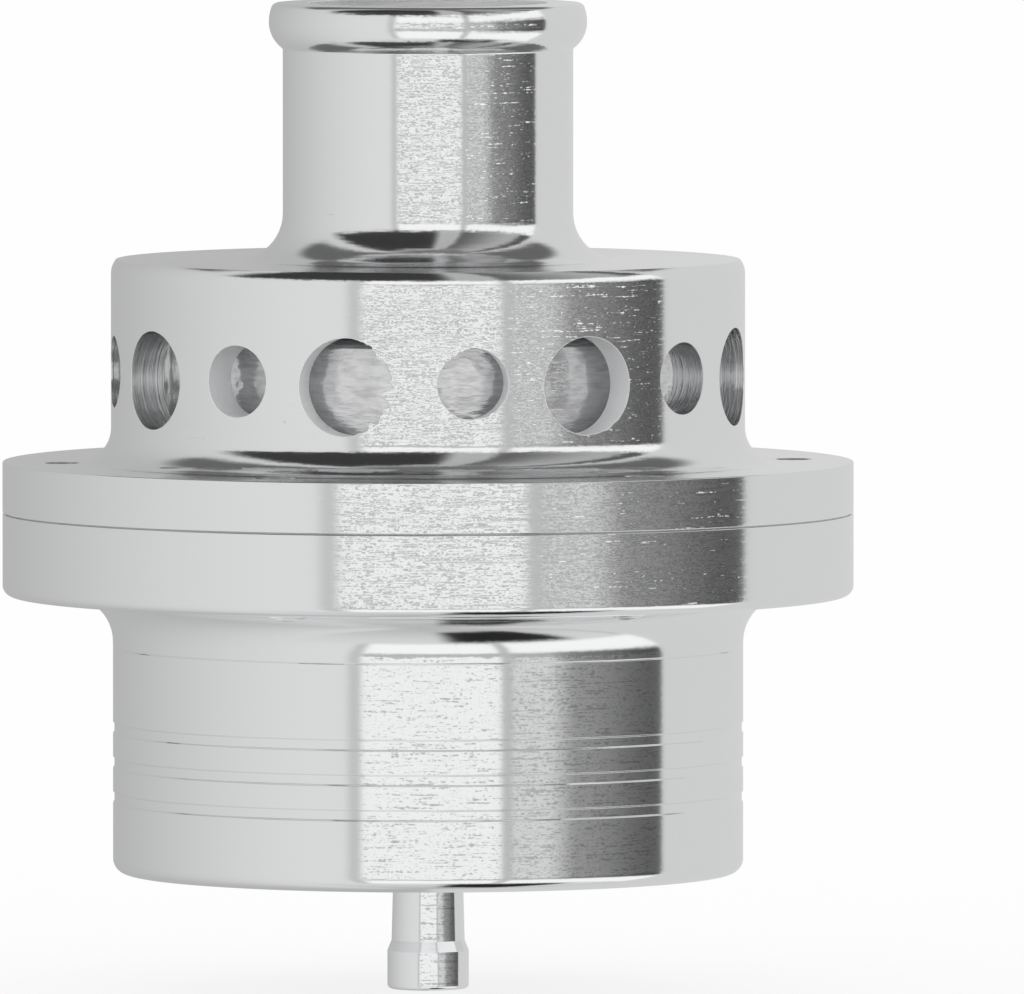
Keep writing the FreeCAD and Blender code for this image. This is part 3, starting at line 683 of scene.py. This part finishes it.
def make_screws():
    """Socket cap screws with knurled heads, from below, with their ends in the upper flange."""
    recipe = Recipe("flange_screws", {
        "Screws": SCREWS, "Circle": SCREW_CIRCLE * MM, "First Angle": math.radians(SCREW_ANGLE),
        "Seat": HEAD_SEAT * MM, "Length": (SCREW_END - HEAD_SEAT) * MM, "Shank": 1.5 * MM,
        "Head": 2.75 * MM, "Head Height": 3.0 * MM, "Chamfer": 0.3 * MM, "Knurls": 36,
        "Knurl Depth": 0.11 * MM, "Socket": 1.25 * MM, "Socket Depth": 1.3 * MM,
        "Socket Turn": math.radians(SOCKET_TURN)})
    nodes, size = recipe.nodes, recipe.size
    index = nodes.node("GeometryNodeInputIndex").out()

    # One screw is a sheet of rows and columns wrapped round its axis, from the end of its shank to its
    # socket. A row has a radius, a height, and a one where it is knurled and where it is six-sided.
    head, height, chamfer, knurl = size("Head"), size("Head Height"), size("Chamfer"), size("Knurl Depth")
    shank, length, socket, floor = size("Shank"), size("Length"), size("Socket"), size("Socket Depth")
    outline = [
        (0.0, length, 0, 0), (shank - chamfer, length, 0, 0), (shank, length - chamfer, 0, 0),
        (shank, 0.0, 0, 0), (head - knurl, 0.0, 0, 0), (head, -0.3 * chamfer, 1, 0),
        (head, chamfer - height, 1, 0), (head - chamfer, -height, 0, 0), (1.25 * socket, -height, 0, 0),
        (socket, 0.1 * MM - height, 0, 1), (socket, floor - height, 0, 1),
        (0.0, floor - height + chamfer, 0, 0)]
    rows = len(outline)
    columns = size("Knurls") * 4
    sheet = nodes.node("GeometryNodeMeshGrid", None, {"Vertices X": columns + 1, "Vertices Y": rows})
    row = index.math("MODULO", rows)
    turn = (index / rows).math("FLOOR") * (2 * math.pi) / columns
    radius, up, knurled, six_sided = (nodes.pick(row, values) for values in zip(*outline))
    radius = radius - knurled * knurl * (0.5 - 0.5 * (turn * size("Knurls")).math("COSINE"))
    from_flat = turn.math("MODULO", math.pi / 3) - math.pi / 6
    radius = radius * (1.0 / from_flat.math("COSINE")).mix(1.0, 1.0 - six_sided)
    place = nodes.vector(radius * turn.math("COSINE"), radius * turn.math("SINE"), up)
    wrapped = nodes.node("GeometryNodeSetPosition", None, {"Geometry": sheet.out(), "Position": place})
    closed = nodes.node("GeometryNodeMergeByDistance", None, {
        "Geometry": wrapped.out(), "Distance": 0.001 * MM})
    closed = nodes.node("GeometryNodeFlipFaces", None, {"Mesh": closed.out()})

    # Six of them stand in a circle, each socket turned on from the last
    points = nodes.node("GeometryNodeMeshLine", None, {"Count": size("Screws")})
    angle = size("First Angle") + index * (2 * math.pi) / size("Screws")
    east, south = size("Circle") * angle.math("SINE"), size("Circle") * angle.math("COSINE")
    circle = nodes.vector(east, -south, size("Seat"))
    stood = nodes.node("GeometryNodeSetPosition", None, {"Geometry": points.out(), "Position": circle})
    turned = nodes.node("FunctionNodeEulerToRotation", None, {0: nodes.vector(
        0.0, 0.0, (index + 1) * size("Socket Turn"))})
    screws = nodes.node("GeometryNodeInstanceOnPoints", None, {
        "Points": stood.out(), "Instance": recipe.crisp(closed.out()), "Rotation": turned.out()})
    made = recipe.made(screws.out(), screw_steel)
    keep(made, "housing", "screw_steel", *(f"flange_screw_{n}" for n in range(1, SCREWS + 1)))


def make_spring():
    """Compression spring with a closed, ground turn at each end."""
    recipe = Recipe("main_spring_wound", {
        "Foot": SPRING_FOOT * MM, "Length": (SPRING_HEAD - SPRING_FOOT) * MM, "Coil": 14.0 * MM,
        "Wire": 1.1 * MM, "Turns": 6.0, "End Pitch": 2.3 * MM, "First Height": 0.5 * MM, "Steps": 384})
    nodes, size = recipe.nodes, recipe.size
    turns, pitch, steps = size("Turns"), size("End Pitch"), size("Steps")
    line = nodes.node("GeometryNodeCurvePrimitiveLine", None, {"End": (0.0, 0.0, 1.0)})
    line = nodes.node("GeometryNodeResampleCurve", {"mode": "COUNT"}, {
        "Curve": line.out(), "Count": steps + 1})
    turn = nodes.node("GeometryNodeInputIndex").out() / steps * (turns + 2)
    climb = size("Length") - 2 * (size("First Height") + pitch)
    share = ((turn - 1) / turns).math("MAXIMUM", 0).math("MINIMUM", 1)
    ends = turn.math("MINIMUM", 1) + (turn - 1 - turns).math("MAXIMUM", 0)
    up = size("Foot") + size("First Height") + ends * pitch + share * climb
    angle = turn * (2 * math.pi)
    place = nodes.vector(size("Coil") * angle.math("COSINE"), size("Coil") * angle.math("SINE"), up)
    helix = nodes.node("GeometryNodeSetPosition", None, {"Geometry": line.out(), "Position": place})
    section = nodes.node("GeometryNodeCurvePrimitiveCircle", {"mode": "RADIUS"}, {
        "Resolution": 16, "Radius": size("Wire")})
    wound = nodes.node("GeometryNodeCurveToMesh", None, {
        "Curve": helix.out(), "Profile Curve": section.out(0), "Fill Caps": True})

    # Both ends are ground flat
    across, along, up = nodes.parts(nodes.node("GeometryNodeInputPosition").out())
    level = up.math("MAXIMUM", size("Foot")).math("MINIMUM", size("Foot") + size("Length"))
    ground = nodes.node("GeometryNodeSetPosition", None, {
        "Geometry": wound.out(), "Position": nodes.vector(across, along, level)})
    made = recipe.made(recipe.crisp(ground.out()), spring_steel)
    keep(made, "housing", "spring_steel", "main_spring")
    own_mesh(made)


def make_upper_housing():
    """Beaded spigot, shoulder, vented body and flange, in one turned piece."""
    # The bead is one arc above its crest and a tighter one below, which blends into the neck
    crest, bead_drop, top_radius, bead_radius, blend, mouth = SPIGOT + 1.2, 1.65, 3.8, 2.8, 0.3, 0.6
    top = crest - top_radius
    top_height = bead_drop - mouth
    top_across = math.sqrt((top_radius - mouth) ** 2 - top_height ** 2)
    top_share = top_radius / (top_radius - mouth)
    bead = crest - bead_radius
    blend_across = SPIGOT + blend - bead
    blend_down = math.sqrt((bead_radius + blend) ** 2 - blend_across ** 2)
    share = bead_radius / (bead_radius + blend)
    # The shoulder's round is only part of a quarter, so it keeps an edge with the top
    round_off, sweep = 1.9, math.radians(39.0)
    lip, lip_fillet, inner_fillet, relief, rim_round = 12.7, 0.8, 1.0, 0.3, 0.1
    below_ports = -37.5
    corners = [
        to(INLET, 0.0),
        to(top + top_across, 0.0),
        to(top + top_across * top_share, top_height * top_share - bead_drop, mouth, RIGHT),
        to(crest, -bead_drop, top_radius, RIGHT),
        to(bead + blend_across * share, -bead_drop - blend_down * share, bead_radius, RIGHT),
        to(SPIGOT, -bead_drop - blend_down, blend, LEFT),
        to(SPIGOT, SHOULDER + FILLET),
        to(SPIGOT + FILLET, SHOULDER, FILLET, LEFT),
        to(BODY - round_off * (1 - math.cos(sweep)), SHOULDER),
        to(BODY, SHOULDER - round_off * math.sin(sweep), round_off, RIGHT),
        to(BODY, FLANGE_TOP + BODY_FILLET, name="wall", rows=16),
        to(BODY + BODY_FILLET, FLANGE_TOP, BODY_FILLET, LEFT, name="fillet"),
        to(FLANGE - rim_round, FLANGE_TOP, name="flange_top", rows=4),
        to(FLANGE, FLANGE_TOP - rim_round, rim_round, RIGHT),
        to(FLANGE, JOINT + SEAM_ROUND_AWAY),
        to(FLANGE - SEAM_ROUND_IN, JOINT + SEAM / 2, SEAM_ROUND, RIGHT),
        to(FLANGE - SEAM_DEPTH, JOINT + SEAM / 2),
        to(FLANGE - SEAM_DEPTH, JOINT),
        to(BODY_INNER + relief, JOINT, name="joint_face", rows=4),
        to(BODY_INNER, JOINT + relief),
        to(BODY_INNER, below_ports),
        to(BODY_INNER, CEILING - inner_fillet, name="inner_wall", rows=12),
        to(BODY_INNER - inner_fillet, CEILING, inner_fillet, LEFT),
        to(lip + lip_fillet, CEILING),
        to(lip, CEILING - lip_fillet, lip_fillet, LEFT),
        to(lip, SEAT),
        to(INLET, SEAT),
    ]
    skin = Skin()
    named = {}
    for name, run in outline_runs(corners):
        radius, height = run[:, 0].mean(), run[:, 1].mean()
        if name:
            named[name] = run
        elif radius > FLANGE - 1.0:
            skin.turned(run, RIM)
        elif radius < INLET + 0.01:
            skin.turned(run, BORE)
        elif height < CEILING + 0.01 and radius < BODY_INNER + 0.01:
            skin.turned(run, INSIDE)
        else:
            skin.turned(run, TURNED)

    # The ports come in pairs of a large and a small one, and three of them have burrs
    wall, inner = named["wall"], named["inner_wall"]
    no_burr = np.zeros(PORT_POINTS)
    burrs = {
        ("large", 7): with_tooth(torn_edge(3, (15, 50, 0.75), (-48, 26, 1.1)), -10, 10, 1.25),
        ("small", 0): torn_edge(5, (128, 30, 0.45), (-55, 35, 0.3)),
        ("large", 0): torn_edge(11, (-70, 32, 0.12)),
    }
    sector = 360 / PORT_PAIRS
    for pair in range(PORT_PAIRS):
        turn = sector * pair
        outer_loops, inner_loops = [], []
        for kind, port in (("large", LARGE_PORT), ("small", SMALL_PORT)):
            away = (port[2] + turn + 180) % 360 - 180
            finish = REAMED if abs(away) < REAMED_WITHIN else DRILLED
            outer, behind = drill_port(skin, port, turn, burrs.get((kind, pair), no_burr), finish)
            outer_loops.append((outer[0], wall[0, 4] + wall[0, 1] - outer[1]))
            inner_loops.append((behind[0], inner[0, 4] + behind[1] - inner[0, 1]))
        skin.perforated(wall, turn + SECTOR_START, sector, outer_loops, TURNED)
        skin.perforated(inner, turn + SECTOR_START, sector, inner_loops, INSIDE)

    # The tapped holes are so near the body that their edge cuts into the fillet
    drill_for_screws(
        skin, joined(named["fillet"], named["flange_top"]), named["joint_face"], TAPPED_HOLE + COUNTERSINK,
        [(TAPPED_HOLE, FLANGE_TOP - COUNTERSINK), (TAPPED_HOLE, JOINT)], (-0.7, 0.7), TAPPED)
    made = skin.mesh("upper_housing_turned", [
        turned_aluminium, drilled_aluminium, turned_flange, tapped_aluminium, satin_aluminium,
        reamed_aluminium, bored_aluminium])
    keep(made, "housing", "turned_aluminium", "upper_housing")


def make_lower_housing():
    """Flange and cup with three shallow grooves, in one turned piece."""
    # The register reaches up into the upper housing, and a groove for the joint's O-ring runs round it
    register, register_top, chamfer = 24.05, JOINT + 2.0, 0.3
    groove_inner, groove_outer, groove_floor = 25.2, 27.6, JOINT - 1.4
    flange_round, cup_round, nipple_hole, floor_fillet = 0.9, 1.25, 2.6, 1.0
    corners = [
        to(PISTON_BORE + chamfer, register_top),
        to(register - chamfer, register_top),
        to(register, register_top - chamfer),
        to(register, JOINT),
        to(groove_inner, JOINT),
        to(groove_inner, groove_floor),
        to(groove_outer, groove_floor),
        to(groove_outer, JOINT),
        to(FLANGE - SEAM_DEPTH, JOINT, name="joint_face", rows=4),
        to(FLANGE - SEAM_DEPTH, JOINT - SEAM / 2),
        to(FLANGE - SEAM_ROUND_IN, JOINT - SEAM / 2),
        to(FLANGE, JOINT - SEAM_ROUND_AWAY, SEAM_ROUND, RIGHT),
        to(FLANGE, UNDERSIDE + flange_round),
        to(FLANGE - flange_round, UNDERSIDE, flange_round, RIGHT),
        to(CUP + FILLET, UNDERSIDE, name="underside", rows=4),
        to(CUP, UNDERSIDE - FILLET, FILLET, LEFT, name="fillet"),
    ]
    # The fine line where the tool stopped above the cup
    line_half, line_depth = 0.08, 0.06
    corners += [
        to(CUP, TOOL_STOP + line_half),
        to(CUP - line_depth, TOOL_STOP),
        to(CUP, TOOL_STOP - line_half),
    ]
    # The three grooves, a little narrower at their floor
    half, floor_half, depth = 0.5, 0.375, 0.12
    for middle in (-62.4, -65.4, -68.4):
        corners += [
            to(CUP, middle + half),
            to(CUP - depth, middle + floor_half),
            to(CUP - depth, middle - floor_half),
            to(CUP, middle - half),
        ]
    corners += [
        to(CUP, BASE + cup_round),
        to(CUP - cup_round, BASE, cup_round, RIGHT),
        to(nipple_hole, BASE),
        to(nipple_hole, FLOOR),
        to(PISTON_BORE - floor_fillet, FLOOR),
        to(PISTON_BORE, FLOOR + floor_fillet, floor_fillet, LEFT),
        to(PISTON_BORE, register_top - chamfer),
    ]
    skin = Skin()
    named = {}
    for name, run in outline_runs(corners):
        if name:
            named[name] = run
        elif run[:, 0].mean() > FLANGE - 1.0:
            skin.turned(run, RIM)
        else:
            skin.turned(run, TURNED)
    drill_for_screws(
        skin, joined(named["underside"], named["fillet"]), named["joint_face"], HEAD_HOLE,
        [(HEAD_HOLE, HEAD_SEAT), (CLEARANCE_HOLE, HEAD_SEAT), (CLEARANCE_HOLE, JOINT)], (-1.0, 0.0), DRILLED)
    made = skin.mesh("lower_housing_turned", [turned_cup, drilled_aluminium, turned_flange])
    keep(made, "housing", "turned_aluminium", "lower_housing")


def make_nipple():
    """Barbed nipple under the floor."""
    bore, shank, neck, neck_end, barb, end_round = 1.75, 2.59, 3.0, 3.15, 3.51, 0.4
    corners = [
        to(bore, FLOOR), to(shank - 0.2, FLOOR), to(shank, FLOOR - 0.2), to(shank, BASE), to(neck, BASE),
        to(neck_end, BASE - 5.8), to(barb, BASE - 6.7), to(barb, NIPPLE_END + end_round),
        to(barb - end_round, NIPPLE_END, end_round, RIGHT), to(bore, NIPPLE_END),
    ]
    skin = Skin()
    for _, run in outline_runs(corners):
        skin.turned(run, TURNED, FEWER_COLUMNS)
    made = skin.mesh("vacuum_nipple_turned", [turned_cup])
    keep(made, "housing", "turned_aluminium", "vacuum_nipple")


def make_piston():
    """Polished piston with its grooves."""
    crown, boss_end, seal_inner, seal_outer, seal_depth = 4.0, 6.5, 9.675, 13.275, 1.5
    skirt, boss_outer, boss_inner, corner, chamfer = 19.1, 12.5, 9.2, 1.5, 0.3
    corners = [
        to(0.0, CROWN - crown), to(0.0, CROWN), to(seal_inner, CROWN), to(seal_inner, CROWN - seal_depth),
        to(seal_outer, CROWN - seal_depth), to(seal_outer, CROWN), to(PISTON - chamfer, CROWN),
        to(PISTON, CROWN - chamfer),
    ]
    # Grooves for the two guide rings and, between them, the O-ring
    for middle, half, floor in ((-46.0, 1.55, 21.5), (-50.5, 1.15, 21.0), (-57.0, 1.55, 21.5)):
        corners += [to(PISTON, middle + half), to(floor, middle + half), to(floor, middle - half),
                    to(PISTON, middle - half)]
    corners += [
        to(PISTON, SKIRT_END + chamfer), to(PISTON - chamfer, SKIRT_END), to(skirt, SKIRT_END),
        to(skirt, CROWN - crown - corner), to(skirt - corner, CROWN - crown, corner, LEFT),
        to(boss_outer, CROWN - crown), to(boss_outer, CROWN - boss_end), to(boss_inner, CROWN - boss_end),
        to(boss_inner, CROWN - crown),
    ]
    skin = Skin()
    polished, satin = 0, 1
    for _, run in outline_runs(corners, 0.8 * BROKEN_EDGE):
        if run[:, 0].max() > 0:
            on_crown = run[:, 1].mean() > CROWN - 2.0 and run[:, 0].mean() < PISTON - 0.2
            skin.turned(run, satin if on_crown else polished, FEWER_COLUMNS)
    made = skin.mesh("piston_turned", [polished_aluminium, satin_aluminium])
    keep(made, "piston", "polished_aluminium", "piston")


def coat_the_rest():
    """The pieces that stay as the CAD has them get their materials."""
    for material, slot, names in (
            (seal_rubber, "seal_rubber", ("face_seal", "piston_o_ring", "joint_o_ring", "bump_stop")),
            (guide_ptfe, "guide_ptfe", ("upper_guide_ring", "lower_guide_ring")),
            (spring_steel, "spring_steel", ("spring_seat",))):
        for name in names:
            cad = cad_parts[name]
            cad.data.materials.clear()
            cad.data.materials.append(material)


make_upper_housing()
make_lower_housing()
make_nipple()
make_piston()
make_screws()
make_spring()
coat_the_rest()


# Studio

def light_the_studio():
    """White surroundings. Metal sees a bright screen in front, and grey and dark round it."""
    world = bpy.data.worlds.new("studio")
    bpy.context.scene.world = world
    world.use_nodes = True
    nodes = Nodes(world.node_tree)
    east, north, up = nodes.parts(nodes.node("ShaderNodeTexCoord").out("Generated"))
    azimuth = east.math("ARCTAN2", -north) * (180 / math.pi)
    elevation = up.math("ARCSINE") * (180 / math.pi)

    # Round the horizon, from the left by the front to the right
    level = azimuth.ramp(-175, -30, 0.47, 0.75)
    level = level.mix(0.66, azimuth.ramp(93, 98))
    level = level.mix(SCREEN, azimuth.band(-25, 27, 2))
    right = azimuth.ramp(43, 57, 0.62, 0.28) * azimuth.ramp(52, 92, 1.0, 0.36)
    right = right * (elevation.band(-6.5, 0.5, 4) * 0.5 + 0.68)
    level = level.mix(right, azimuth.band(27, 95.5, 2))
    level = level.mix(0.54, azimuth.band(-29, -24, 4))
    level = level.mix(0.5, azimuth.band(27, 31, 2))
    # The screen has two darker strips near the horizon, and to the right it is cut short there
    front = azimuth.band(-24, 27, 2)
    level = level.mix(0.95, front * elevation.band(-12, 6, 3))
    level = level.mix(0.46, front * (elevation.band(2.5, 9.5, 3) + elevation.band(-17, -9, 3)))
    cut = azimuth.band(31, 96, 2) * (1 - elevation.band(-17, 11, 9))
    level = level.mix(SCREEN, cut * elevation.band(-45, 29, 6))
    # A dark gap above the screen, which gets lighter to the right
    above = elevation.band(27, 76, 5)
    level = level.mix(0.035, azimuth.band(-84, 12, 16) * above)
    level = level.mix(azimuth.ramp(26, 80, 0.10, 0.42), azimuth.band(27, 84, 8) * above)
    level = level.mix(0.45, azimuth.band(12, 27, 6) * above)
    level = level.mix(0.16, elevation.ramp(72, 82))
    # The ceiling behind is dark too
    level = level.mix(0.13, azimuth.math("ABSOLUTE").band(105, 200, 20) * elevation.band(38, 90, 8))
    # A grey stretch below the screen, with a dark gap in it
    below = azimuth.band(-60, 96, 16) * elevation.ramp(-46, -38, 1.0, 0.0)
    level = level.mix(elevation.ramp(-88, -46, 0.52, 0.70), below)
    level = level.mix(0.02, azimuth.band(9, 66, 12) * elevation.band(-76, -45, 9))
    level = level.mix(0.5, elevation.ramp(-80, -88))

    light = nodes.node("ShaderNodeBackground", None, {"Color": nodes.vector(level, level, level)})
    white = nodes.node("ShaderNodeBackground", None, {"Color": (1, 1, 1, 1)})
    reflected = nodes.node("ShaderNodeLightPath").out("Is Glossy Ray")
    either = nodes.node("ShaderNodeMixShader", None, {0: reflected, 1: white.out(), 2: light.out()})
    nodes.node("ShaderNodeOutputWorld", None, {"Surface": either.out()})


def lay_the_floor():
    """A plain white floor just under the nipple. It keeps a soft shadow."""
    bpy.ops.mesh.primitive_plane_add(size=60, location=(0, 0, (NIPPLE_END - 0.1) * MM))
    floor = bpy.context.object
    floor.name = "floor"
    floor.visible_glossy = False
    material, nodes = new_material("floor_white")
    paper = nodes.node("ShaderNodeBsdfDiffuse", None, {"Color": (0.95, 0.95, 0.95, 1)})
    glow = nodes.node("ShaderNodeEmission", None, {"Color": (1, 1, 1, 1)})
    share = nodes.node("ShaderNodeLightPath").out("Is Camera Ray") * 0.8
    either = nodes.node("ShaderNodeMixShader", None, {0: share, 1: paper.out(), 2: glow.out()})
    nodes.node("ShaderNodeOutputMaterial", None, {"Surface": either.out()})
    floor.data.materials.append(material)


def set_the_camera():
    """Long lens, three degrees above the level, with the valve left of the middle of the picture."""
    distance, elevation, width = 2240.0, math.radians(3.0), 88.2
    target = Vector((7.23, 0.0, -42.6)) * MM
    data = bpy.data.cameras.new("camera")
    data.sensor_width = 36.0
    data.lens = data.sensor_width * distance / width
    data.clip_end = 200.0
    camera = bpy.data.objects.new("camera", data)
    bpy.context.scene.collection.objects.link(camera)
    back = Vector((0, -math.cos(elevation), math.sin(elevation)))
    camera.location = target + back * distance * MM
    camera.rotation_mode = "QUATERNION"
    camera.rotation_quaternion = (-back).to_track_quat("-Z", "Y")
    bpy.context.scene.camera = camera


light_the_studio()
lay_the_floor()
set_the_camera()
bpy.context.scene.view_settings.view_transform = "Standard"
